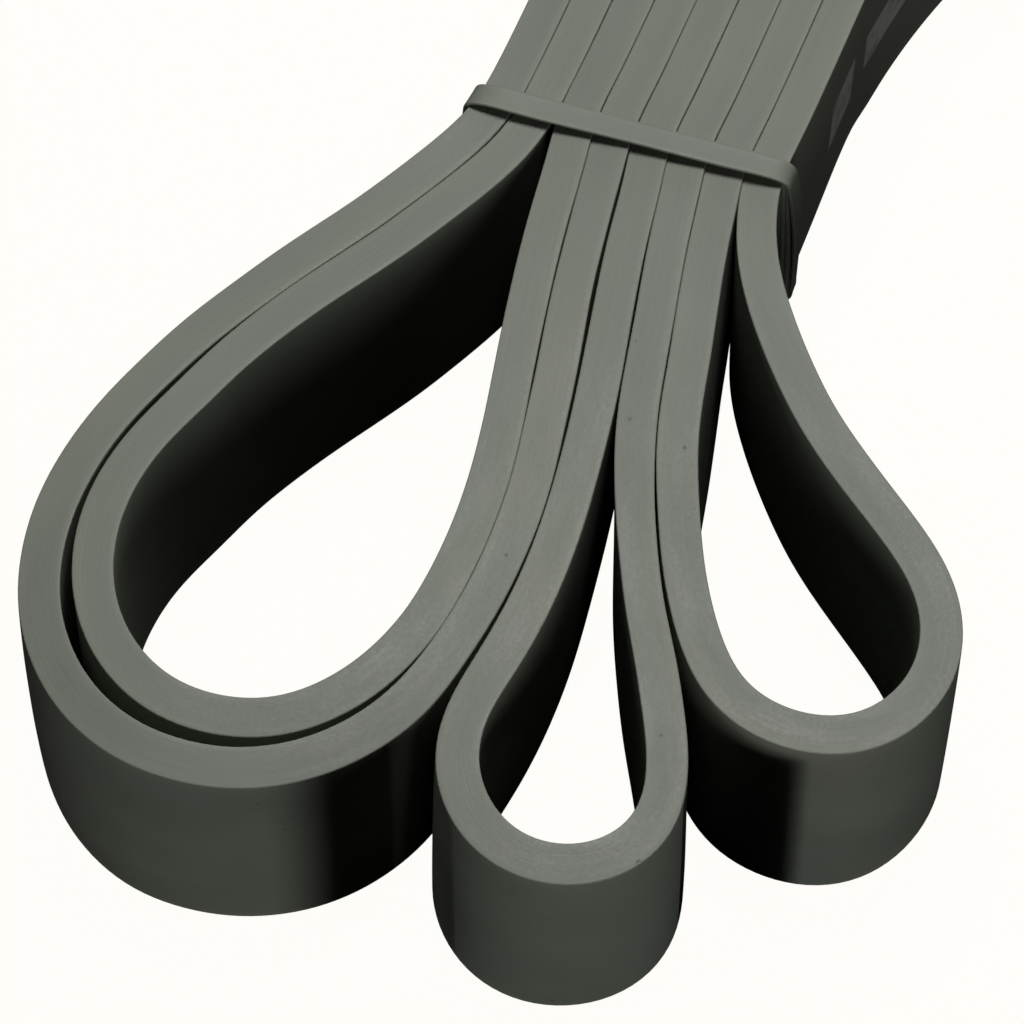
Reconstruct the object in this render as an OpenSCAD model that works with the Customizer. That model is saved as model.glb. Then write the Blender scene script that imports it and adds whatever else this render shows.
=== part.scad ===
// Layered latex loop strap for stretching, stored as a bundle: one endless flat
// strap standing on its edge, folded into eight layers and held by a small
// rubber band wound round it three times.
//
// The strap is drawn as the eight folds that it forms: four folds in front of
// the band and four behind it. Numbering the layers 1 to 8 from left to right,
// the front folds join 1-4, 2-3, 5-6 and 7-8, and the rear folds join 1-8, 2-7,
// 3-6 and 4-5, which makes one closed loop.

/* [Strap] */
// Width of the strap, which is its height as it stands on its edge
strap_w = 32; // [13:1:64]
// Thickness of the strap
strap_t = 4.3; // [3.5:0.1:4.3]
// Length of the strap once round the loop
strap_len = 2080; // [1700:10:2400]

/* [Bundle] */
// Distance from one layer to the next inside one fold
layer_pitch = 4.4; // [4.4:0.1:4.6]
// Distance from one layer to the next between folds that move apart
fold_pitch = 4.6; // [4.6:0.1:4.8]
// Centreline radius of the innermost rear fold
rear_r = 28.5; // [26:0.5:29]
// Radius of the curve that opens each rear fold out from the straight bundle
rear_flare_r = 110; // [90:5:120]
// How far the bundle behind the band runs to the right for each millimetre back
rear_slant = 0.03; // [0:0.005:0.05]
// Gap between the front folds and the rear folds, under the band's front edge
mouth_gap = 0.3; // [0.2:0.1:0.6]

/* [Band] */
// Width of the band's strip
band_w = 3.2; // [2:0.2:6]
// Thickness of one turn of the band
band_t = 0.5; // [0.3:0.1:0.6]
// Clearance between the band and the strap
band_clear = 0.35; // [0.3:0.05:0.5]
// How far the band can slide back along the bundle
band_travel = 20; // [5:1:20]

/* [Hidden] */

// ---- where the layers lie across the bundle (mirror images about x = 0) ----
x5 = fold_pitch / 2;                 // layer 5, and layer 4 at -x5
x6 = x5 + layer_pitch;               // layer 6 and 3
x7 = x6 + fold_pitch;                // layer 7 and 2
x8 = x7 + layer_pitch;               // layer 8 and 1
bundle_half = x8 + strap_t / 2;
y_front = -mouth_gap / 2;            // rear end of the front folds
y_rear = mouth_gap / 2;              // front end of the rear folds

// ---- front folds: centreline points, from one layer at the mouth to the other ----
// The straight tails at both ends keep the strap square to the mouth.
left_outer = [[-x8, 6], [-x8, y_front],
  [-17.5, -7], [-20.5, -13], [-24, -19], [-28.5, -26.5], [-32.5, -33.5], [-36, -40.5],
  [-39.5, -48.5], [-41.5, -56], [-42, -63], [-41, -70.5], [-38, -77], [-33, -82.5],
  [-27, -86], [-20, -87], [-13, -85.5], [-7, -82.5], [-2, -78], [1.5, -72],
  [3.5, -65], [4.5, -57], [4.7, -48.5], [4, -40], [3, -32], [1.6, -24.5], [0.2, -17.5],
  [-1, -11], [-1.8, -5.5], [-x5, y_front], [-x5, 6]];
left_inner = [[-x7, 6], [-x7, y_front],
  [-13, -8.5], [-16.1, -15], [-19.8, -21.5], [-24.5, -29], [-28.5, -36],
  [-32, -43], [-34.7, -49.5], [-36.4, -56], [-37, -62], [-36, -67.5], [-33.5, -72.5],
  [-29.5, -77], [-25, -79.8], [-19.5, -80.8], [-13.5, -79.6], [-8.5, -76.8], [-4.5, -72.5],
  [-2, -67.5], [-0.6, -61.5], [-0.1, -55], [0, -48], [-0.6, -40], [-1.6, -32], [-3, -24.5],
  [-4.4, -17.5], [-5.5, -11], [-6.3, -5.5], [-x6, y_front], [-x6, 6]];
centre = [[x5, 6], [x5, y_front],
  [3, -5.5], [4, -11.5], [5.1, -17.5], [6.4, -24.5], [7.7, -31.5],
  [8.9, -39], [9.6, -47], [9.7, -53.5], [9.4, -59.5], [8.6, -65.5], [7.7, -72],
  [8.7, -77.5], [12, -82], [16.8, -84.7], [22.8, -84.6], [27.8, -81.6], [30.2, -76.5], [29.5, -70.5],
  [27, -64.5], [24, -58.5], [20.9, -52.5], [18, -46.5], [15.5, -40], [13.4, -33], [11.7, -26],
  [10, -18.5], [8.7, -12], [7.5, -5.5], [x6, y_front], [x6, 6]];
right = [[x7, 6], [x7, y_front],
  [12.8, -6.5], [14.2, -12.5], [15.4, -19], [16.7, -26], [18.3, -32.5], [20.3, -39], [22.7, -45.5],
  [25.5, -51.2], [29.2, -56.5], [33.5, -60], [38.7, -61.7], [44.5, -60.8], [49, -57.6],
  [51.6, -52.5], [51.7, -46.5], [49.3, -41], [45.3, -36.8], [40.3, -33], [35, -29],
  [30.5, -25], [26.5, -20.5], [23, -15.5], [20.3, -10.5], [17.9, -5.5], [x8, y_front], [x8, 6]];

// ---- a smooth line through points, and the strap's outline round it ----
function through(a, b, c, d, t) = 0.5 * (2 * b + (c - a) * t
    + (2 * a - 5 * b + 4 * c - d) * t * t + (3 * b - a - 3 * c + d) * t * t * t);
function smooth_line(p, n = 4) = concat(
    [for (i = [1 : len(p) - 3]) for (k = [0 : n - 1]) through(p[i - 1], p[i], p[i + 1], p[i + 2], k / n)],
    [p[len(p) - 2]]);
function unit(v) = v / norm(v);
function side(p, i) = let (
    a = i == 0 ? p[0] : p[i - 1],
    b = i == len(p) - 1 ? p[i] : p[i + 1],
    d = (i == 0 || i == len(p) - 1) ? [0, i == 0 ? -1 : 1] : unit(b - a))
    [-d[1], d[0]];
function outline(p) = concat(
    [for (i = [0 : len(p) - 1]) p[i] + side(p, i) * strap_t / 2],
    [for (i = [len(p) - 1 : -1 : 0]) p[i] - side(p, i) * strap_t / 2]);
function run(p, i = 1) = i >= len(p) ? 0 : norm(p[i] - p[i - 1]) + run(p, i + 1);

lo_line = smooth_line(left_outer);
li_line = smooth_line(left_inner);
c_line = smooth_line(centre);
r_line = smooth_line(right);

// ---- rear folds: straight runs, a curve outwards, and a round end, all parallel ----
flare_x = x5 + rear_flare_r;                                   // centre of the outward curve
flare_rise = sqrt(pow(rear_flare_r + rear_r, 2) - pow(flare_x, 2));
flare_a = atan2(flare_rise, flare_x);                          // angle of the outward curve
function rear_curves(d) = 2 * (rear_flare_r - d) * flare_a * PI / 180
    + (rear_r + d) * (180 + 2 * flare_a) * PI / 180;
rear_steps = [0, x6 - x5, x7 - x5, x8 - x5];
front_len = run(lo_line) + run(li_line) + run(c_line) + run(r_line);
curves_len = rear_curves(rear_steps[0]) + rear_curves(rear_steps[1])
    + rear_curves(rear_steps[2]) + rear_curves(rear_steps[3]);
// The straight run takes up what is left of the strap's length.
straight_end = (strap_len - front_len - curves_len) / 8;
round_y = straight_end + flare_rise;
flare_n = 14;
round_n = 72;
function rear_line(d) = concat(
    [[x5 + d, y_rear]],
    [for (i = [0 : flare_n]) let (a = 180 - flare_a * i / flare_n)
        [flare_x + (rear_flare_r - d) * cos(a), straight_end + (rear_flare_r - d) * sin(a)]],
    [for (i = [1 : round_n]) let (a = -flare_a + (180 + 2 * flare_a) * i / round_n)
        [(rear_r + d) * cos(a), round_y + (rear_r + d) * sin(a)]],
    [for (i = [flare_n - 1 : -1 : 0]) let (a = 180 - flare_a * i / flare_n)
        [-flare_x - (rear_flare_r - d) * cos(a), straight_end + (rear_flare_r - d) * sin(a)]],
    [[-x5 - d, y_rear]]);
function rear_side(p, i) = let (
    a = i == 0 ? p[0] : p[i - 1],
    b = i == len(p) - 1 ? p[i] : p[i + 1],
    d = (i == 0 || i == len(p) - 1) ? [0, i == 0 ? 1 : -1] : unit(b - a))
    [-d[1], d[0]];
function slant(q) = [q[0] + rear_slant * (q[1] - y_rear), q[1]];
function rear_outline(p) = concat(
    [for (i = [0 : len(p) - 1]) slant(p[i] + rear_side(p, i) * strap_t / 2)],
    [for (i = [len(p) - 1 : -1 : 0]) slant(p[i] - rear_side(p, i) * strap_t / 2)]);

// ---- the band, and the hollow under the bundle that it runs in ----
turn_step = band_t + 0.05;
band_build = 3 * band_t + 0.1;                 // three turns and the air between them
band_y = 0.5;                                  // front edge of the band at rest
band_x = rear_slant * (band_y + band_w / 2 - y_rear);   // the bundle's middle, under the band
band_floor = 0.1;                              // underside of the band above the surface
hollow_h = band_floor + band_build + band_clear;
hollow_y = band_y + band_w + band_travel + 0.5;

// ---- origin: centre of the whole object's footprint, on the surface it stands on ----
lo_out = outline(lo_line);
r_out = outline(r_line);
x_min = min([for (p = lo_out) p[0]]);
x_max = max([for (p = r_out) p[0]]);
y_min = min([for (p = lo_out) p[1]]);
y_max = round_y + rear_r + rear_steps[3] + strap_t / 2;
home = [-(x_min + x_max) / 2, -(y_min + y_max) / 2, 0];

latex = [0.42, 0.44, 0.40];
latex_band = [0.38, 0.40, 0.36];

module front_fold(line) {
    color(latex) translate(home) linear_extrude(strap_w) polygon(outline(line));
}
module rear_fold(d) {
    color(latex) translate(home) difference() {
        linear_extrude(strap_w) polygon(rear_outline(rear_line(d)));
        translate([-40, -1, -1]) cube([80, hollow_y + 1, hollow_h + 1]);
    }
}
module rounded(x, z0, z1, r) {
    translate([-x + r, z0]) square([2 * (x - r), z1 - z0]);
    translate([-x, z0 + r]) square([2 * x, z1 - z0 - 2 * r]);
    for (sx = [-1, 1]) {
        translate([sx * (x - r), z0 + r]) circle(r, $fn = 48);
        translate([sx * (x - r), z1 - r]) circle(r, $fn = 48);
    }
}
module band_turn(k) {
    g = band_clear + k * turn_step;
    inner_z0 = hollow_h - g;
    color(latex_band) translate(home) translate([band_x, band_y + band_w, 0]) rotate([90, 0, 0])
        linear_extrude(band_w) difference() {
            rounded(bundle_half + g + band_t, inner_z0 - band_t, strap_w + g + band_t, 0.4 + k * turn_step + band_t);
            rounded(bundle_half + g, inner_z0, strap_w + g, 0.4 + k * turn_step);
        }
}

module front_left_outer_loop() { front_fold(lo_line); }
module front_left_inner_loop() { front_fold(li_line); }
module front_centre_loop() { front_fold(c_line); }
module front_right_loop() { front_fold(r_line); }
module back_outer_loop() { rear_fold(rear_steps[3]); }
module back_second_loop() { rear_fold(rear_steps[2]); }
module back_third_loop() { rear_fold(rear_steps[1]); }
module back_inner_loop() { rear_fold(rear_steps[0]); }
module band_inner_turn() { band_turn(0); }
module band_middle_turn() { band_turn(1); }
module band_outer_turn() { band_turn(2); }

front_left_outer_loop();
front_left_inner_loop();
front_centre_loop();
front_right_loop();
back_outer_loop();
back_second_loop();
back_third_loop();
back_inner_loop();
band_inner_turn();
band_middle_turn();
band_outer_turn();
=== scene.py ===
import bpy, math
import numpy as np
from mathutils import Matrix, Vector

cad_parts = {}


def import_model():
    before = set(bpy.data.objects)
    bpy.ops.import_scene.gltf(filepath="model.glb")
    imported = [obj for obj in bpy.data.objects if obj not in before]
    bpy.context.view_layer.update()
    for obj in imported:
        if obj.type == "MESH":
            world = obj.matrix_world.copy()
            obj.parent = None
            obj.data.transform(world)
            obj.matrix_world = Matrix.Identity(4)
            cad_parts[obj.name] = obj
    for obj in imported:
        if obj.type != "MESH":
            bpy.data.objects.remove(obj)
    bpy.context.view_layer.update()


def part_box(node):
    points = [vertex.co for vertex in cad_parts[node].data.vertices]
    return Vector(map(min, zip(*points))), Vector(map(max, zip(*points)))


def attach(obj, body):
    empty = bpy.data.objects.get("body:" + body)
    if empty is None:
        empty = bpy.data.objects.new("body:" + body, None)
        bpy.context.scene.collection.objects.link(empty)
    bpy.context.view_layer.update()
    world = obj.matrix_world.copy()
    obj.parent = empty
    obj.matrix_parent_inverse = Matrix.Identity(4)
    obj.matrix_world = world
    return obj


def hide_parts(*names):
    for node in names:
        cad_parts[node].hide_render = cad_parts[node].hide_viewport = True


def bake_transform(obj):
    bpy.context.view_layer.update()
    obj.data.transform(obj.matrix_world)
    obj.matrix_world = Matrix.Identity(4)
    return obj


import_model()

# ------------------------------------------------------------------ working frame
# Lengths below are in millimetres from the middle of the bundle at the mouth of the
# front folds, with +Y along the bundle to the rear and z = 0 on the floor.
_lo, _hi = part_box("band_outer_turn")
HX = (_lo.x + _hi.x) * 500 - 0.0585
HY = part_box("front_left_outer_loop")[1].y * 1000 + 0.15
H = 32.0                                   # strap width, which stands upright
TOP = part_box("back_outer_loop")[1].z * 1000
PITCH, T_TIED, T_FREE = 4.36, 4.35, 4.45
SEAM_Y = 2.0                               # where the sections of the strap meet, under the band


def world(p):
    q = np.array(p, float)
    q = q + np.array([HX, HY, 0.0])
    return q / 1000.0


def smooth(x):
    x = np.clip(x, 0, 1)
    return x * x * (3 - 2 * x)


# ------------------------------------------------------------------ the strap's centreline
C1 = [(-15.75,-1.6,4.35),(-17.6,-6.4,4.45),(-20.6,-12.2,4.5),(-23.7,-17.8,4.5),(-27.1,-23.2,4.55),(-29.8,-27.5,4.55),
      (-32.9,-33,4.5),(-35.8,-38.6,4.5),(-38.2,-44.4,4.45),(-40,-49.2,4.4),(-41.5,-55.4,4.4),(-42.1,-61.9,4.5),
      (-41.7,-67.1,4.5),(-39.9,-73.5,4.5),(-37.3,-78.1,4.5),(-32.8,-82.8,4.5),(-27.3,-85.8,4.5),(-22.6,-86.9,4.5),
      (-15.6,-86.5,4.5),(-10.1,-84.6,4.5),(-5.3,-81.4,4.5),(-1.4,-77,4.5),(1.5,-71.7,4.5),(3.2,-65.7,4.3),
      (4.1,-60.7,4.3),(4.7,-54.3,4.35),(4.8,-47.7,4.45),(4.4,-42.4,4.4),(3.4,-35.7,4.45),(2.6,-30.3,4.45),
      (1.6,-24.9,4.45),(0.4,-18.1,4.3),(-0.3,-12.6,4.3),(-1.0,-7.0,4.3),(-1.6,-1.5,4.3)]
C2 = [(-11.1,-1.6,4.35),(-13.5,-8.2,4.45),(-16.6,-14.3,4.5),(-19.8,-20.1,4.5),(-23.3,-25.6,4.5),(-26,-29.9,4.5),
      (-28.9,-35.1,4.45),(-31.6,-40.5,4.4),(-33.7,-46.2,4.4),(-34.8,-48.9,4.3),(-36.4,-53.8,4.35),(-37.2,-60.8,4.45),
      (-36.3,-66.8,4.45),(-34.5,-71.3,4.45),(-30.9,-76.1,4.5),(-25.1,-79.8,4.5),(-19.7,-80.8,4.5),(-13.4,-79.7,4.5),
      (-8.8,-77.1,4.5),(-4.5,-72.3,4.5),(-2,-67.3,4.4),(-0.4,-61.8,4.3),(0.4,-54.8,4.3),(0.4,-48.8,4.35),
      (0,-42.8,4.45),(-0.7,-37.9,4.4),(-1.8,-31.8,4.35),(-2.9,-25.6,4.4),(-3.9,-19.3,4.4),(-4.6,-14.3,4.4),
      (-5.3,-7.9,4.4),(-5.85,-1.5,4.35)]
C3 = [(2.95,-1.4,4.25),(3.5,-6,4.3),(4.1,-11.1,4.35),(5.1,-17.3,4.4),(6.2,-23.4,4.45),(7.3,-29.5,4.55),(8.2,-35.5,4.5),
      (8.9,-41.5,4.5),(9.4,-47.5,4.55),(9.5,-53.4,4.6),(9.2,-59.2,4.65),(8.5,-64.9,4.65),(7.6,-71.7,4.55),
      (8.7,-77.4,4.6),(12,-82,4.6),(16.8,-84.7,4.5),(23,-84.5,4.5),(28.1,-81.1,4.5),(30.2,-76.1,4.4),
      (29.1,-69.4,4.4),(26.7,-64.1,4.45),(24.1,-58.9,4.4),(21.2,-53.8,4.2),(18.6,-48.4,4.15),(16.2,-42.9,4.2),
      (14.1,-37.2,4.35),(12.4,-31.4,4.4),(11.2,-25.3,4.35),(10.1,-19.2,4.3),(9.2,-14.3,4.3),(8.1,-8.1,4.3),
      (7.4,-1.8,4.3)]
C4 = [(11.4,-1.2,4.3),(12.1,-5.4,4.35),(12.9,-10.6,4.4),(14.1,-16.8,4.5),(15.4,-22.9,4.5),(16.5,-28.9,4.5),
      (18.1,-34.9,4.5),(19.9,-39.6,4.5),(22.2,-45.2,4.5),(24.9,-50.5,4.5),(28.7,-56.1,4.5),(32.9,-60,4.4),
      (38.9,-61.7,4.45),(44.8,-60.7,4.5),(49.1,-57.6,4.55),(51.8,-51.8,4.6),(51.5,-46,4.55),(48.9,-40.7,4.5),
      (44.8,-36.6,4.55),(40.3,-33.1,4.55),(35,-29,4.6),(30.6,-25.2,4.5),(26.6,-20.8,4.5),(22.8,-16,4.5),
      (19.4,-10.8,4.45),(17.2,-6.1,4.4),(16.0,-1.6,4.3)]

REAR_R, FLARE_R, X5, STRAIGHT_END = 28.5, 110.0, 2.3, 26.28
FLARE_X = X5 + FLARE_R
FLARE_RISE = math.sqrt((FLARE_R + REAR_R) ** 2 - FLARE_X ** 2)
FLARE_A = math.atan2(FLARE_RISE, FLARE_X)
ROUND_Y = STRAIGHT_END + FLARE_RISE
CAD_X = {5: 2.3, 6: 6.7, 7: 11.3, 8: 15.7}


def layer_x(k):
    """Centre of layer k (1 to 8 from the left) at the seam."""
    return PITCH * (k - 4.5) + 0.06


def rear_fold(k):
    """Centreline of the rear fold between layers 9-k and k, from its left leg round to its right leg."""
    d = CAD_X[k] - X5
    right = [(CAD_X[k], y) for y in (6, 10, 15, 20)]
    for i in range(0, 19):
        a = math.pi - FLARE_A * i / 18
        right.append((FLARE_X + (FLARE_R - d) * math.cos(a), STRAIGHT_END + (FLARE_R - d) * math.sin(a)))
    n = 40
    for i in range(1, n // 2):
        a = -FLARE_A + (math.pi + 2 * FLARE_A) * i / n
        right.append(((REAR_R + d) * math.cos(a), ROUND_Y + (REAR_R + d) * math.sin(a)))
    left = [(-x, y) for x, y in right]
    pts = left + [(0.0, ROUND_Y + REAR_R + d)] + right[::-1]
    out = []
    for x, y in pts:
        free = smooth((y - 30.0) / 40.0)
        tight = PITCH * (k - 4.5)
        if abs(x) > 1:
            x += math.copysign(1.0, x) * (tight - CAD_X[k]) * (1 - free)
        x += 0.06 * (1 - free)
        x += 0.03 * (y - 0.15) + 0.36 * (1 - math.exp(-y / 9.0)) * (1 - smooth((y - 27.0) / 40.0))
        out.append((x, y, T_TIED + 0.05 * free))
    return out


def lean_front(name, f, x, y):
    """How far the strap's lower edge is out of plumb with its upper edge, in x and y."""
    if name == "C1":
        lx = 0.2 * smooth(f / 0.15) * (1 - smooth((f - 0.42) / 0.1)) - 0.4 * smooth((f - 0.58) / 0.1) * (1 - smooth((f - 0.8) / 0.2))
        ly = -0.5 * smooth((f - 0.4) / 0.1) * (1 - smooth((f - 0.62) / 0.1))
    elif name == "C2":
        lx = 0.4 * smooth(f / 0.15) * (1 - smooth((f - 0.35) / 0.15))
        ly = 0.0
    elif name == "C3":
        if f < 0.5:
            lx = -0.7 * smooth((-y - 5.0) / 35.0)
            ly = -0.1 * smooth((-y - 5.0) / 35.0)
        else:
            a = smooth((f - 0.5) / 0.12)
            lx = -0.7 * (1 - a) + 0.3 * a * (1 - smooth((f - 0.8) / 0.2))
            ly = -0.1 * (1 - a)
    else:
        up = smooth(f / 0.12)
        lx = 0.5 * up * (1 - smooth((f - 0.3) / 0.12)) - 0.4 * smooth((f - 0.48) / 0.1) * (1 - smooth((f - 0.62) / 0.1)) \
            + 0.35 * smooth((f - 0.68) / 0.08) * (1 - smooth((f - 0.88) / 0.12))
        ly = -0.4 * smooth((f - 0.3) / 0.1) * (1 - smooth((f - 0.5) / 0.1)) + 0.3 * smooth((f - 0.5) / 0.1) * (1 - smooth((f - 0.9) / 0.1))
    return lx, ly


def lean_rear(y):
    return -0.032 * min(y, 25.0) * (1 - float(smooth((y - 25.0) / 50.0)))


ctrl, tags = [], []            # tags say which section a control point is in


def add_front(name, pts, ka, kb, flip=False):
    pts = [(layer_x(ka), SEAM_Y, T_TIED)] + list(pts) + [(layer_x(kb), SEAM_Y, T_TIED)]
    xy = np.array([p[:2] for p in pts])
    s = np.r_[0, np.cumsum(np.hypot(*np.diff(xy, axis=0).T))]
    rows = []
    for (x, y, t), f in zip(pts, s / s[-1]):
        lx, ly = lean_front(name, float(f), x, y)
        rows.append((x, y, t, lx, ly))
    if flip:
        rows = rows[::-1]
    ctrl.extend(rows)
    tags.extend([name] * len(rows))


def add_rear(k, flip=False):
    rows = [(x, y, t, lean_rear(y), 0.0) for x, y, t in rear_fold(k)]
    if flip:
        rows = rows[::-1]
    ctrl.extend(rows)
    tags.extend(["R%d" % k] * len(rows))


add_front("C1", C1, 1, 4)
add_rear(5)                       # layer 4 to layer 5
add_front("C3", C3, 5, 6)
add_rear(6, flip=True)            # layer 6 to layer 3
add_front("C2", C2, 2, 3, flip=True)
add_rear(7)                       # layer 2 to layer 7
add_front("C4", C4, 7, 8)
add_rear(8, flip=True)            # layer 8 to layer 1
ctrl = np.array(ctrl, float)

# a dense closed line through the control points
n = len(ctrl)
dense, dense_tag = [], []
for i in range(n):
    a, b, c, d = ctrl[i - 1], ctrl[i], ctrl[(i + 1) % n], ctrl[(i + 2) % n]
    # chordal knots keep the line from overshooting where the points are unevenly spaced
    t1 = max(np.hypot(*(b - a)[:2]), 1e-6) ** 0.5
    t2 = max(np.hypot(*(c - b)[:2]), 1e-6) ** 0.5
    t3 = max(np.hypot(*(d - c)[:2]), 1e-6) ** 0.5
    m1 = t2 * ((b - a) / t1 - (c - a) / (t1 + t2) + (c - b) / t2)
    m2 = t2 * ((c - b) / t2 - (d - b) / (t2 + t3) + (d - c) / t3)
    for k in range(10):
        u = k / 10
        dense.append((2*u**3 - 3*u**2 + 1) * b + (u**3 - 2*u**2 + u) * m1 + (-2*u**3 + 3*u**2) * c + (u**3 - u**2) * m2)
        dense_tag.append(tags[i] if k < 5 else tags[(i + 1) % n])
dense = np.array(dense)


def resample(a, tag, step):
    closed = np.vstack([a, a[:1]])
    s = np.r_[0, np.cumsum(np.hypot(*np.diff(closed[:, :2], axis=0).T))]
    m = int(round(s[-1] / step))
    t = np.arange(m) * s[-1] / m
    out = np.stack([np.interp(t, s, closed[:, j]) for j in range(a.shape[1])], 1)
    idx = np.clip(np.searchsorted(s, t, side="right") - 1, 0, len(a) - 1)
    return out, [tag[i] for i in idx], s[-1] / m


def gauss(a, sigma):
    r = int(4 * sigma) + 1
    k = np.exp(-0.5 * (np.arange(-r, r + 1) / sigma) ** 2)
    k /= k.sum()
    p = np.concatenate([a[-r:], a, a[:r]])
    return np.stack([np.convolve(p[:, j], k, "valid") for j in range(a.shape[1])], 1)


line, ltag, DS = resample(dense, dense_tag, 0.5)
for _ in range(1):
    g = gauss(line, 3.2 / DS)
    line = 2 * g - gauss(g, 3.2 / DS)      # smooths the line without shrinking its bends

# keep neighbouring layers from cutting into each other
lt = np.array(ltag)
N = len(line)
halves = {}
for name, (ka, kb) in {"C1": (1, 4), "C2": (3, 2), "C3": (5, 6), "C4": (7, 8)}.items():
    idx = np.where(lt == name)[0]
    if idx[-1] - idx[0] > N / 2:           # the section that wraps round the start of the line
        idx = np.roll(idx, -int(np.argmax(np.diff(idx))) - 1)
    apex = int(np.argmin(line[idx, 1]))
    halves[ka], halves[kb] = idx[:apex], idx[apex:]
limit = {(2, 3): -30.0, (5, 6): -46.0, (7, 8): -25.0}
for it in range(40):
    push = np.zeros((N, 2))
    worst = 0.0
    for k in range(1, 8):
        a, b = halves[k], halves[k + 1]
        lim = limit.get((k, k + 1), -200.0)
        a, b = a[line[a, 1] > lim], b[line[b, 1] > lim]
        pa, pb = line[a, :2], line[b, :2]
        dist = np.hypot(pa[:, None, 0] - pb[None, :, 0], pa[:, None, 1] - pb[None, :, 1])
        for own, other, po, pt, dd in ((a, b, pa, pb, dist), (b, a, pb, pa, dist.T)):
            j = dd.argmin(1)
            dmin = dd[np.arange(len(own)), j]
            need = (line[own, 2] + line[other[j], 2]) / 2 + 0.005 - dmin
            on = need > 0
            if on.any():
                worst = max(worst, float(need.max()))
                away = (po - pt[j]) / dmin[:, None]
                push[own[on]] += away[on] * need[on, None] * 0.5
    if worst < 0.01:
        break
    line[:, :2] += gauss(push, 1.5 / DS) * 1.25
print("layers settled after", it, "passes, largest overlap left", round(worst, 3), "mm")

length = np.r_[0, np.cumsum(np.hypot(*np.diff(np.vstack([line, line[:1]])[:, :2], axis=0).T))]
print("strap length round the loop", round(length[-1], 1), "mm")

# tangents, and how sharply the line bends, which lets the edges curl as latex does
ext = np.vstack([line[-2:], line, line[:2]])
tan = (ext[3:-1, :2] - ext[1:-3, :2])
tan /= np.hypot(*tan.T)[:, None]
ang = np.unwrap(np.arctan2(tan[:, 1], tan[:, 0]))
kap = np.gradient(ang) / DS
kap = gauss(kap[:, None], 5.0 / DS)[:, 0]
curl_max = {"C1": 0.85, "C2": 0.42, "C3": 0.55, "C4": 0.22, "R5": 0.3, "R6": 0.3, "R7": 0.3, "R8": 0.3}
kmax = {t: np.abs(kap[lt == t]).max() for t in curl_max}
curl = np.array([curl_max[t] * kap[i] / kmax[t] for i, t in enumerate(ltag)])
curl = gauss(curl[:, None], 3.0 / DS)[:, 0]

# ------------------------------------------------------------------ sections of the strap
# cuts are where the line crosses the seam
y = line[:, 1]
cuts = []
for i in range(N):
    j = (i + 1) % N
    if (y[i] - SEAM_Y) * (y[j] - SEAM_Y) < 0:
        cuts.append((i, (SEAM_Y - y[i]) / (y[j] - y[i])))
assert len(cuts) == 8, len(cuts)

state = np.column_stack([line, tan, curl, length[:-1]])   # x y T lx ly tx ty curl s


def station(i, f):
    a, b = state[i % N].copy(), state[(i + 1) % N].copy()
    if (i + 1) % N == 0:
        b[8] = length[-1]
    return a * (1 - f) + b * f


R_EDGE = 0.16
NT, NW, NC = 8, 22, 5
sec = []                                   # (side weight, corner offset u, height v, corner offset v, kind)
for i in range(NT + 1):
    sec.append((-1 + 2 * i / NT, 0.0, 1, 1.0))
for i in range(1, NC):
    a = math.pi / 2 * (1 - i / NC)
    sec.append((1, math.cos(a), 1, math.sin(a)))
wall_v = [0.5 + 0.5 * math.cos(math.pi * i / NW) * (1 - 0.12 * math.sin(math.pi * i / NW) ** 2) for i in range(NW + 1)]
for v in wall_v:
    sec.append((1, 1.0, v, None))
for i in range(1, NC):
    a = math.pi / 2 * i / NC
    sec.append((1, math.cos(a), 0, math.sin(a)))
for i in range(NT + 1):
    sec.append((1 - 2 * i / NT, 0.0, 0, 1.0))
for i in range(1, NC):
    a = math.pi / 2 * (1 - i / NC)
    sec.append((-1, -math.cos(a), 0, math.sin(a)))
for v in wall_v[::-1]:
    sec.append((-1, -1.0, v, None))
for i in range(1, NC):
    a = math.pi / 2 * i / NC
    sec.append((-1, -math.cos(a), 1, math.sin(a)))
# no two points fall on the same place: arcs leave out their ends


def section_uv(h):
    # rim is 1 along the rounded edges of the section; the material paints a lighter highlight there
    us, vs, rim_highlight, top = [], [], [], []
    for a, cu, v, cv in sec:
        us.append(a * (h - R_EDGE) + cu * R_EDGE)
        if cv is None:
            vs.append(R_EDGE + v * (H - 2 * R_EDGE))
            rim_highlight.append(math.exp(-((1 - abs(2 * v - 1)) * 16 / 0.9) ** 2)); top.append(0.0)
        else:
            vs.append(H - R_EDGE + R_EDGE * cv if v == 1 else R_EDGE - R_EDGE * cv)
            edge = (1 - abs(a)) * h
            rim_highlight.append(math.exp(-(edge / 0.5) ** 2)); top.append(1.0 if cu == 0.0 else 1.0 - abs(cu))
    return np.array(us), np.array(vs), np.array(rim_highlight), np.array(top)


def hollow(yy):
    """How far the lower edge lifts over the band, along the part of the bundle that the band can slide on."""
    return 1.5 * smooth((yy + 6.5) / 4.5) * (1 - smooth((yy - 28.0) / 7.0))


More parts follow.
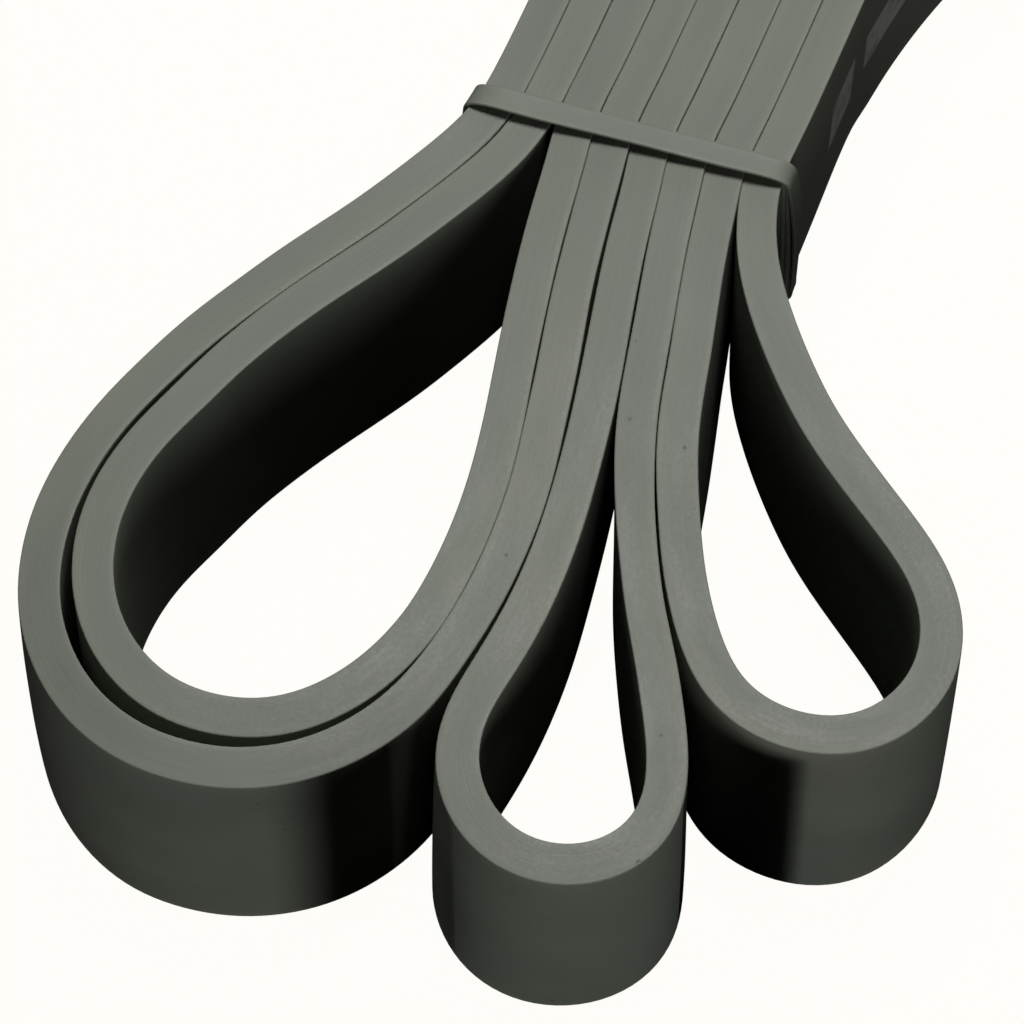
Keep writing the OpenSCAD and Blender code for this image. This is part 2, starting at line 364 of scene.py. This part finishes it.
def make_strap(name, c0, c1, step):
    (i0, f0), (i1, f1) = c0, c1
    span = (i1 - i0) % N
    d0, d1 = i0 + f0, i0 + span + f1
    m = max(8, int(round((d1 - d0) * DS / step)))
    verts, co_s, rim_highlights, tops = [], [], [], []
    for q in range(m + 1):
        d = d0 + (d1 - d0) * q / m
        i = int(math.floor(d))
        st = station(i, d - i)
        if i >= N:
            st[8] += length[-1]
        x, yy, T, lx, ly, tx, ty, cl, s = st
        tl = math.hypot(tx, ty)
        tx, ty = tx / tl, ty / tl
        nx, ny = -ty, tx
        h = T / 2
        u, v, rim_highlight, top = section_uv(h)
        fr = v / H
        g = (2 * fr - 1) ** 3
        # upright walls bow very slightly, and drift a little as soft latex does
        drift = 0.05 * np.sin(s / 11.3 + fr * 2.1) + 0.03 * np.sin(s / 4.7 + 1.3 - fr * 3.4)
        bow = 0.28 * cl / 0.85 * ((2 * fr - 1) ** 2 - 1)          # cl > 0 where the outer side is at -u
        off = u + drift * (1 - np.abs(g)) - (-bow)
        px = x + nx * off + lx * (1 - fr)
        py = yy + ny * off + ly * (1 - fr)
        hz = hollow(yy)
        pz = hz + fr * (H - hz)
        pz += cl * g * (u / T)                                    # outer edge lower at the top, higher at the foot
        pz += abs(cl) * 0.5 * (1 - fr) ** 3                       # the foot stays on the floor
        saw = (0.30 * smooth((yy + 60.0) / 55.0) * (1 - smooth((yy - 30.0) / 30.0)))
        pz += saw * (u * nx / T) * fr ** 6
        dip = 0.16 * math.exp(-((yy - 1.2) / 2.4) ** 2)
        pz += fr ** 4 * (0.06 * math.sin(s / 7.9 + 0.7) + 0.035 * math.sin(s / 3.1) - dip - 0.10)
        verts.append(np.stack([px, py, pz], 1))
        co_s.append(np.stack([np.full_like(u, s), u, v], 1))
        rim_highlights.append(rim_highlight); tops.append(top)
    M = len(sec)
    V = np.concatenate(verts)
    faces = []
    for q in range(m):
        a, b = q * M, (q + 1) * M
        for k in range(M):
            k2 = (k + 1) % M
            faces.append((a + k, b + k, b + k2, a + k2))
    faces.append(tuple(range(M)))
    faces.append(tuple(m * M + k for k in range(M - 1, -1, -1)))
    me = bpy.data.meshes.new(name)
    me.from_pydata([tuple(p) for p in world(V)], [], faces)
    me.update()
    # outward normals
    import bmesh
    bm = bmesh.new(); bm.from_mesh(me)
    bmesh.ops.recalc_face_normals(bm, faces=bm.faces)
    bm.to_mesh(me); bm.free()
    me.polygons.foreach_set("use_smooth", [True] * len(me.polygons))
    me.set_sharp_from_angle(angle=math.radians(50))
    at = me.attributes.new("strap_co", "FLOAT_VECTOR", "POINT")
    at.data.foreach_set("vector", (np.concatenate(co_s)).astype(np.float32).ravel())
    at = me.attributes.new("rim_highlight", "FLOAT", "POINT")
    at.data.foreach_set("value", np.concatenate(rim_highlights).astype(np.float32))
    at = me.attributes.new("cut_edge", "FLOAT", "POINT")
    at.data.foreach_set("value", np.concatenate(tops).astype(np.float32))
    ob = bpy.data.objects.new(name, me)
    bpy.context.scene.collection.objects.link(ob)
    return ob


order = ["C1", "R5", "C3", "R6", "C2", "R7", "C4", "R8"]
made, by_tag = {}, {}
for q in range(8):
    c0, c1 = cuts[q], cuts[(q + 1) % 8]
    mid = (c0[0] + ((c1[0] - c0[0]) % N) // 2) % N
    by_tag[ltag[mid]] = (c0, c1)
PIECES = {
    "C1": ("strap_front_left_outer", "front_left_outer_loop", "left_loop", 1.1),
    "C2": ("strap_front_left_inner", "front_left_inner_loop", "left_loop", 1.1),
    "C3": ("strap_front_centre", "front_centre_loop", "centre_loop", 1.0),
    "C4": ("strap_front_right", "front_right_loop", "right_loop", 1.0),
    "R8": ("strap_rear_outer", "back_outer_loop", None, 1.6),
    "R7": ("strap_rear_second", "back_second_loop", None, 1.6),
    "R6": ("strap_rear_third", "back_third_loop", None, 1.6),
    "R5": ("strap_rear_inner", "back_inner_loop", None, 1.6),
}
for tag, (name, node, body, step) in PIECES.items():
    made[tag] = make_strap(name, *by_tag[tag], step)

# ------------------------------------------------------------------ the rubber band's three turns
# Each turn is a strip: front edge and back edge points, going over the top to the right,
# down the right side, back under the bundle and up the left side.
def band_turn(name, front, back, t, seed):
    F, B = np.array(front, float), np.array(back, float)
    both = np.hstack([F, B])
    nn = len(both)
    pts = []
    for i in range(nn):
        a, b, c, d = both[i - 1], both[i], both[(i + 1) % nn], both[(i + 2) % nn]
        t1 = max(np.linalg.norm((b - a)[:3]), 1e-6) ** 0.5
        t2 = max(np.linalg.norm((c - b)[:3]), 1e-6) ** 0.5
        t3 = max(np.linalg.norm((d - c)[:3]), 1e-6) ** 0.5
        m1 = t2 * ((b - a) / t1 - (c - a) / (t1 + t2) + (c - b) / t2)
        m2 = t2 * ((c - b) / t2 - (d - b) / (t2 + t3) + (d - c) / t3)
        for k in range(14):
            u = k / 14
            pts.append((2*u**3 - 3*u**2 + 1) * b + (u**3 - 2*u**2 + u) * m1 + (-2*u**3 + 3*u**2) * c + (u**3 - u**2) * m2)
    pts = np.array(pts)
    cen = (pts[:, :3] + pts[:, 3:]) / 2
    closed = np.vstack([cen, cen[:1]])
    s = np.r_[0, np.cumsum(np.linalg.norm(np.diff(closed, axis=0), axis=1))]
    m = int(round(s[-1] / 0.45))
    q = np.arange(m) * s[-1] / m
    pc = np.vstack([pts, pts[:1]])
    st = np.stack([np.interp(q, s, pc[:, j]) for j in range(6)], 1)
    st = gauss(st, 1.2)
    cen = (st[:, :3] + st[:, 3:]) / 2
    tn = np.roll(cen, -1, 0) - np.roll(cen, 1, 0)
    tn /= np.linalg.norm(tn, axis=1)[:, None]
    W = st[:, 3:] - st[:, :3]
    width = np.linalg.norm(W, axis=1)
    W = W / width[:, None]
    W = W - tn * (W * tn).sum(1)[:, None]
    W /= np.linalg.norm(W, axis=1)[:, None]
    Nn = np.cross(tn, W)                       # outward or inward, the section is the same both ways
    prof = []
    r = t * 0.42
    nw = 10
    for i in range(nw + 1):
        prof.append((-1 + 2 * i / nw, 0, 1, 1.0))
    for i in range(1, 5):
        a = math.pi / 2 * (1 - i / 5); prof.append((1, math.cos(a), 1, math.sin(a)))
    prof.append((1, 1, 0, 0))
    for i in range(1, 5):
        a = math.pi / 2 * i / 5; prof.append((1, math.cos(a), -1, math.sin(a)))
    for i in range(nw + 1):
        prof.append((1 - 2 * i / nw, 0, -1, 1.0))
    for i in range(1, 5):
        a = math.pi / 2 * (1 - i / 5); prof.append((-1, -math.cos(a), -1, math.sin(a)))
    prof.append((-1, -1, 0, 0))
    for i in range(1, 5):
        a = math.pi / 2 * i / 5; prof.append((-1, -math.cos(a), 1, math.sin(a)))
    verts, co = [], []
    rim_highlight = []
    for i in range(m):
        hw = width[i] / 2 * (1 + 0.02 * math.sin(i * 0.13 + seed))
        tt = t * (1 + 0.04 * math.sin(i * 0.21 + seed * 2))
        for a, cu, sv, cv in prof:
            uu = a * (hw - r) + cu * r
            vv = sv * (tt / 2 - r) + (sv * cv * r if sv else 0.0)
            # strip edges are a touch thicker than its middle, as moulded strip is
            vv *= 1 + 0.10 * (abs(a) ** 4)
            verts.append(cen[i] + W[i] * uu + Nn[i] * vv)
            # rim marks the strip's rounded edges, where the material paints a lighter highlight
            co.append((q[i], uu, vv)); rim_highlight.append(abs(a) ** 8)
    M = len(prof)
    faces = []
    for i in range(m):
        a, b = i * M, ((i + 1) % m) * M
        for k in range(M):
            k2 = (k + 1) % M
            faces.append((a + k, b + k, b + k2, a + k2))
    me = bpy.data.meshes.new(name)
    me.from_pydata([tuple(p) for p in world(np.array(verts))], [], faces)
    me.update()
    import bmesh
    bm = bmesh.new(); bm.from_mesh(me)
    bmesh.ops.recalc_face_normals(bm, faces=bm.faces)
    bm.to_mesh(me); bm.free()
    me.polygons.foreach_set("use_smooth", [True] * len(me.polygons))
    at = me.attributes.new("strap_co", "FLOAT_VECTOR", "POINT")
    at.data.foreach_set("vector", np.array(co, np.float32).ravel())
    at = me.attributes.new("rim_highlight", "FLOAT", "POINT")
    at.data.foreach_set("value", np.array(rim_highlight, np.float32))
    at = me.attributes.new("cut_edge", "FLOAT", "POINT")
    at.data.foreach_set("value", np.zeros(len(rim_highlight), np.float32))
    ob = bpy.data.objects.new(name, me)
    bpy.context.scene.collection.objects.link(ob)
    return ob


BT = 0.40
ZT = 32.0
outer_f = [(-16.6, -1.25, ZT+1.10), (-10, -0.95, ZT+1.12), (0, -0.35, ZT+1.13), (10, 0.22, ZT+1.12), (17.0, 0.62, ZT+1.08),
           (18.2, 0.80, ZT+0.45), (18.55, 1.05, 30.6), (18.68, 1.75, 27), (18.80, 2.40, 23.5), (18.92, 3.20, 18), (18.95, 3.70, 14),
           (18.85, 4.40, 9), (18.65, 4.80, 4), (18.40, 4.95, 1.4), (17.3, 5.0, 0.28), (8, 3.4, 0.27), (0, 2.2, 0.27), (-8, 1.0, 0.27),
           (-17.2, -0.3, 0.28), (-18.55, -0.5, 1.5), (-18.8, -0.6, 8), (-18.85, -0.8, 16), (-18.8, -1.0, 24), (-18.65, -1.15, 30),
           (-18.2, -1.25, ZT+0.35)]
outer_b = [(-16.4, 1.45, ZT+1.10), (-10, 1.85, ZT+1.12), (0, 2.40, ZT+1.13), (10, 2.95, ZT+1.12), (17.1, 3.28, ZT+1.08),
           (18.2, 3.50, ZT+0.45), (18.55, 3.75, 30.6), (18.72, 4.40, 27), (18.85, 4.95, 23.5), (18.90, 5.60, 18), (18.80, 6.00, 14),
           (18.65, 6.35, 9), (18.50, 6.70, 4), (18.35, 6.90, 1.4), (17.3, 7.2, 0.28), (8, 6.1, 0.27), (0, 4.9, 0.27), (-8, 3.7, 0.27),
           (-17.2, 2.4, 0.28), (-18.40, 2.3, 1.5), (-18.5, 2.2, 8), (-18.5, 2.0, 16), (-18.4, 1.8, 24), (-18.2, 1.6, 30),
           (-17.8, 1.5, ZT+0.40)]
middle_f = [(-16.4, -0.75, ZT+0.66), (-10, -0.5, ZT+0.68), (0, 0.1, ZT+0.69), (10, 0.6, ZT+0.68), (16.9, 1.05, ZT+0.64),
            (17.85, 1.25, ZT+0.15), (18.05, 1.5, 30.6), (18.15, 1.9, 27), (18.22, 2.2, 23.5), (18.28, 2.7, 18), (18.30, 3.0, 14),
            (18.25, 3.4, 9), (18.2, 3.8, 4), (18.05, 4.0, 1.7), (17.2, 4.0, 0.69), (8, 3.0, 0.69), (0, 2.0, 0.69), (-8, 1.0, 0.69),
            (-17.0, 0.3, 0.69), (-18.1, 0.2, 1.8), (-18.3, 0.1, 8), (-18.35, 0.0, 16), (-18.3, -0.3, 24), (-18.15, -0.6, 30),
            (-17.75, -0.75, ZT+0.10)]
inner_f = [(-16.2, -0.30, ZT+0.23), (-10, 0.05, ZT+0.25), (0, 0.55, ZT+0.26), (10, 1.1, ZT+0.25), (16.7, 1.45, ZT+0.22),
           (17.55, 1.55, ZT-0.2), (17.72, 1.6, 30.6), (17.78, 1.7, 27), (17.82, 1.9, 23.5), (17.86, 2.1, 18), (17.86, 2.3, 14),
           (17.84, 2.5, 9), (17.8, 2.7, 4), (17.7, 2.8, 2.0), (17.1, 2.8, 1.11), (8, 2.2, 1.11), (0, 1.6, 1.11), (-8, 1.0, 1.11),
           (-16.8, 0.6, 1.11), (-17.75, 0.6, 2.0), (-17.9, 0.5, 8), (-17.95, 0.4, 16), (-17.95, 0.2, 24), (-17.85, -0.1, 30),
           (-17.5, -0.25, ZT-0.15)]


def shifted(front, w0, w1):
    """Back edge of a turn, from its front edge and the strip's width."""
    out = []
    for i, (x, yy, z) in enumerate(front):
        wv = w0 + (w1 - w0) * 0.5 * (1 + math.sin(i * 0.5))
        dx = 0.55 if x < -17.0 and z > 3 else 0.0
        out.append((x + dx * 0.7, yy + wv, z))
    return out


t_outer = band_turn("band_outer_strip", outer_f, outer_b, BT, 0.3)
t_middle = band_turn("band_middle_strip", middle_f, shifted(middle_f, 2.45, 2.6), BT, 1.1)
t_inner = band_turn("band_inner_strip", inner_f, shifted(inner_f, 2.3, 2.5), BT, 2.2)


# ------------------------------------------------------------------ materials
def nodes_of(mat):
    mat.use_nodes = True
    nt = mat.node_tree
    nt.nodes.clear()
    return nt


def latex(name, base, band=False, bars=None):
    mat = bpy.data.materials.new(name)
    nt = nodes_of(mat)
    N_, L_ = nt.nodes, nt.links
    out = N_.new("ShaderNodeOutputMaterial")
    bs = N_.new("ShaderNodeBsdfPrincipled")
    L_.new(bs.outputs[0], out.inputs[0])
    bs.inputs["IOR"].default_value = 1.5
    bs.inputs["Specular IOR Level"].default_value = 0.42
    co = N_.new("ShaderNodeAttribute"); co.attribute_name = "strap_co"
    rim_highlight = N_.new("ShaderNodeAttribute"); rim_highlight.attribute_name = "rim_highlight"
    cut = N_.new("ShaderNodeAttribute"); cut.attribute_name = "cut_edge"
    obj = N_.new("ShaderNodeTexCoord")

    def mapping(src, scale, loc=(0, 0, 0)):
        m = N_.new("ShaderNodeMapping")
        m.inputs["Scale"].default_value = scale
        m.inputs["Location"].default_value = loc
        L_.new(src, m.inputs["Vector"])
        return m.outputs[0]

    def noise(vec, scale, detail=3.0, rough=0.5):
        t = N_.new("ShaderNodeTexNoise")
        t.inputs["Scale"].default_value = scale
        t.inputs["Detail"].default_value = detail
        t.inputs["Roughness"].default_value = rough
        L_.new(vec, t.inputs["Vector"])
        return t.outputs["Fac"]

    def remap(v, a, b, c, d):
        m = N_.new("ShaderNodeMapRange")
        m.inputs["From Min"].default_value = a
        m.inputs["From Max"].default_value = b
        m.inputs["To Min"].default_value = c
        m.inputs["To Max"].default_value = d
        L_.new(v, m.inputs["Value"])
        return m.outputs[0]

    def math_(op, a, b=None):
        m = N_.new("ShaderNodeMath"); m.operation = op
        for i, q in enumerate((a, b)):
            if q is None:
                continue
            if isinstance(q, (int, float)):
                m.inputs[i].default_value = q
            else:
                L_.new(q, m.inputs[i])
        return m.outputs[0]

    P = co.outputs["Vector"]
    # long faint streaks that run with the strap, from the layers it is dipped or rolled up from
    streak = noise(mapping(P, (0.035, 2.6, 0.9)), 1.0, 4.0, 0.6)
    streak2 = noise(mapping(P, (0.10, 6.5, 2.6), (3.1, 1.7, 0.4)), 1.0, 3.0, 0.6)
    mottle = noise(mapping(P, (0.09, 0.35, 0.10)), 1.0, 4.0, 0.55)
    cloud = noise(mapping(P, (0.018, 0.08, 0.03), (7, 2, 5)), 1.0, 2.0, 0.5)
    # tiny pits and specks
    vor = N_.new("ShaderNodeTexVoronoi")
    vor.inputs["Scale"].default_value = 1.0
    L_.new(mapping(P, (0.42, 0.55, 0.42)), vor.inputs["Vector"])
    pick = N_.new("ShaderNodeSeparateColor")
    L_.new(vor.outputs["Color"], pick.inputs[0])
    chosen = remap(pick.outputs[0], 0.90, 0.93, 0.0, 1.0)
    dot = remap(vor.outputs["Distance"], 0.05, 0.13, 1.0, 0.0)
    pit = math_("MULTIPLY", chosen, dot)
    fine = noise(mapping(P, (2.4, 2.4, 2.4)), 1.0, 3.0, 0.6)

    # colour
    val = math_("ADD", remap(streak, 0.25, 0.75, -0.03, 0.03), remap(streak2, 0.25, 0.75, -0.018, 0.018))
    val = math_("ADD", val, remap(mottle, 0.3, 0.7, -0.045, 0.045))
    val = math_("ADD", val, remap(cloud, 0.3, 0.7, -0.05, 0.05))
    val = math_("ADD", val, math_("MULTIPLY", pit, -0.38))
    # painted highlight: the colour is made 10% lighter along the rounded edges (rim)
    val = math_("ADD", val, math_("MULTIPLY", rim_highlight.outputs["Fac"], 0.10))
    val = math_("ADD", val, 1.0)
    col = N_.new("ShaderNodeMix"); col.data_type = "RGBA"; col.blend_type = "MULTIPLY"
    col.inputs[0].default_value = 1.0
    tint = N_.new("ShaderNodeMix"); tint.data_type = "RGBA"
    tint.inputs[6].default_value = (*base, 1)
    tint.inputs[7].default_value = (base[0] * 1.10, base[1] * 1.05, base[2] * 0.96, 1)
    L_.new(cloud, tint.inputs[0])
    L_.new(tint.outputs[2], col.inputs[6])
    comb = N_.new("ShaderNodeCombineColor")
    for i in range(3):
        L_.new(val, comb.inputs[i])
    L_.new(comb.outputs[0], col.inputs[7])
    final = col.outputs[2]
    rough = math_("ADD", remap(fine, 0.3, 0.7, -0.05, 0.05), remap(mottle, 0.3, 0.7, 0.46, 0.60))
    if bars:
        sep = N_.new("ShaderNodeSeparateXYZ")
        L_.new(P, sep.inputs[0])
        total = None
        for s0, s1, v0, v1 in bars:
            fs = 0.35
            a = remap(sep.outputs[0], s0 - fs, s0 + fs, 0.0, 1.0)
            b = remap(sep.outputs[0], s1 - fs, s1 + fs, 1.0, 0.0)
            c = remap(sep.outputs[2], v0 - fs, v0 + fs, 0.0, 1.0)
            d = remap(sep.outputs[2], v1 - fs, v1 + fs, 1.0, 0.0)
            one = math_("MULTIPLY", math_("MULTIPLY", a, b), math_("MULTIPLY", c, d))
            total = one if total is None else math_("ADD", total, one)
        side = remap(sep.outputs[1], -2.05, -2.15, 0.0, 1.0)          # only the outer wall carries print
        worn = remap(noise(mapping(P, (0.5, 0.5, 0.5), (2, 8, 1)), 1.0, 3.0, 0.5), 0.34, 0.50, 0.45, 1.0)
        mask = math_("MULTIPLY", math_("MULTIPLY", total, side), worn)
        pr = N_.new("ShaderNodeMix"); pr.data_type = "RGBA"
        L_.new(mask, pr.inputs[0])
        L_.new(final, pr.inputs[6])
        pr.inputs[7].default_value = (0.60, 0.61, 0.58, 1)
        final = pr.outputs[2]
    L_.new(final, bs.inputs["Base Color"])
    L_.new(rough, bs.inputs["Roughness"])
    # relief
    hgt = math_("ADD", remap(streak, 0, 1, 0, 0.5), remap(streak2, 0, 1, 0, 0.35))
    hgt = math_("ADD", hgt, remap(fine, 0, 1, 0, 0.30))
    hgt = math_("ADD", hgt, math_("MULTIPLY", pit, -1.4))
    bump = N_.new("ShaderNodeBump")
    bump.inputs["Strength"].default_value = 0.55
    bump.inputs["Distance"].default_value = 0.00006 if not band else 0.00004
    L_.new(hgt, bump.inputs["Height"])
    L_.new(bump.outputs[0], bs.inputs["Normal"])
    return mat


BASE = (0.203, 0.2225, 0.194)
m_strap = latex("latex_grey_green", BASE)

# plain pale bars on the outer layer behind the band
c0, c1 = by_tag["R8"]
s_start = float(station(*c0)[8])            # layer 8 at the seam
bars = [(s_start + 17.0, s_start + 24.5, 11.0, 20.5), (s_start + 28.5, s_start + 40.0, 12.0, 19.0), (s_start + 44.5, s_start + 56.0, 12.0, 19.0)]
m_print = latex("latex_grey_green_printed", BASE, bars=bars)
m_band = latex("rubber_grey_green", (0.205, 0.2245, 0.196), band=True)

for tag, ob in made.items():
    name, node, body, step = PIECES[tag]
    ob.data.materials.append(m_print if tag == "R8" else m_strap)
    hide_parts(node)
    if body:
        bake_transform(ob)
    else:
        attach(ob, "bundle")
for ob, node in ((t_outer, "band_outer_turn"), (t_middle, "band_middle_turn"), (t_inner, "band_inner_turn")):
    ob.data.materials.append(m_band)
    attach(ob, "band")
    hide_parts(node)

# ------------------------------------------------------------------ floor, light, camera
me = bpy.data.meshes.new("floor")
S = 4.0
me.from_pydata([(-S, -S, 0), (S, -S, 0), (S, S, 0), (-S, S, 0)], [], [(0, 1, 2, 3)])
floor = bpy.data.objects.new("floor", me)
bpy.context.scene.collection.objects.link(floor)
fm = bpy.data.materials.new("pale_floor")
nt = nodes_of(fm)
fo = nt.nodes.new("ShaderNodeOutputMaterial")
em = nt.nodes.new("ShaderNodeEmission")
em.inputs[0].default_value = (0.985, 0.974, 0.941, 1)
em.inputs[1].default_value = 1.0
df = nt.nodes.new("ShaderNodeBsdfDiffuse")
df.inputs[0].default_value = (0.02, 0.02, 0.02, 1)
ad = nt.nodes.new("ShaderNodeAddShader")
nt.links.new(em.outputs[0], ad.inputs[0]); nt.links.new(df.outputs[0], ad.inputs[1])
nt.links.new(ad.outputs[0], fo.inputs[0])
me.materials.append(fm)
floor.visible_diffuse = False
floor.visible_glossy = False

wd = bpy.data.worlds.new("studio")
bpy.context.scene.world = wd
wd.use_nodes = True
wt = wd.node_tree
bg = wt.nodes.get("Background") or wt.nodes.new("ShaderNodeBackground")
wo = wt.nodes.get("World Output") or wt.nodes.new("ShaderNodeOutputWorld")
bg.inputs[0].default_value = (0.985, 0.974, 0.941, 1)
bg.inputs[1].default_value = 1.0
lp = wt.nodes.new("ShaderNodeLightPath")
wt.links.new(lp.outputs["Is Camera Ray"], bg.inputs[1])
wt.links.new(bg.outputs[0], wo.inputs[0])


def softbox(name, az, el, dist, size, power, aim=(0, -0.04, 0.03), col=(1, 1, 0.99)):
    ld = bpy.data.lights.new(name, "AREA")
    ld.shape = "DISK"
    ld.size = size
    ld.energy = power
    ld.color = col
    ob = bpy.data.objects.new(name, ld)
    a, e = math.radians(az), math.radians(el)
    d = Vector((math.sin(a) * math.cos(e), -math.cos(a) * math.cos(e), math.sin(e)))
    ob.location = Vector(aim) + d * dist
    ob.rotation_euler = d.to_track_quat("Z", "Y").to_euler()
    ob.visible_camera = False
    bpy.context.scene.collection.objects.link(ob)
    return ob


def spot(x, y, z=16.0):
    return tuple(world((x, y, z)))


softbox("overhead_softbox", 190, 74, 0.45, 0.16, 1.38, aim=spot(12, -30, 32))
softbox("front_right_softbox", 33, 7, 0.42, 0.28, 0.57, aim=spot(28, -80))
softbox("rear_softbox", 172, 14, 0.5, 0.30, 0.30, aim=spot(0, 130))
softbox("side_softbox", 84, 9, 0.45, 0.20, 0.065, aim=spot(45, -40))
softbox("front_left_softbox", -50, 10, 0.9, 0.55, 0.60, aim=spot(0, -80))


def flag(name, x, y, az, half, z0=-1.0, z1=30.5):
    """A small black card, as studios use, that keeps the front light out of the gaps between the loops."""
    a = math.radians(az)
    dx, dy = math.cos(a) * half, math.sin(a) * half
    pts = [(x - dx, y - dy, z0), (x + dx, y + dy, z0), (x + dx, y + dy, z1), (x - dx, y - dy, z1)]
    me = bpy.data.meshes.new(name)
    me.from_pydata([tuple(world(q)) for q in pts], [], [(0, 1, 2, 3)])
    ob = bpy.data.objects.new(name, me)
    bpy.context.scene.collection.objects.link(ob)
    fm2 = bpy.data.materials.new(name)
    t2 = nodes_of(fm2)
    o2 = t2.nodes.new("ShaderNodeOutputMaterial")
    d2 = t2.nodes.new("ShaderNodeBsdfDiffuse")
    d2.inputs[0].default_value = (0, 0, 0, 1)
    t2.links.new(d2.outputs[0], o2.inputs[0])
    me.materials.append(fm2)
    ob.visible_camera = False
    ob.visible_glossy = False
    return ob


flag("card_left", 6.0, -90.0, 39.8, 6.9, z1=42.0)
flag("card_right", 38.3, -70.3, 30, 6.6)

cam_d = bpy.data.cameras.new("camera")
cam = bpy.data.objects.new("camera", cam_d)
bpy.context.scene.collection.objects.link(cam)
az, el = math.radians(20), math.radians(61.5)
back = Vector((math.sin(az) * math.cos(el), -math.cos(az) * math.cos(el), math.sin(el)))
target = Vector(tuple(world((3.9, -47.5, 32.0))))
cam.location = target + back * 0.660
cam.rotation_mode = "QUATERNION"
cam.rotation_quaternion = (-back).to_track_quat("-Z", "Y")
cam_d.sensor_width = 36.0
cam_d.lens = 6200 / 1024 * 36.0
cam_d.clip_start, cam_d.clip_end = 0.02, 20.0
bpy.context.scene.camera = cam

vs = bpy.context.scene.view_settings
vs.view_transform = "Standard"
vs.look = "None"
vs.exposure = 0.0
vs.gamma = 1.0
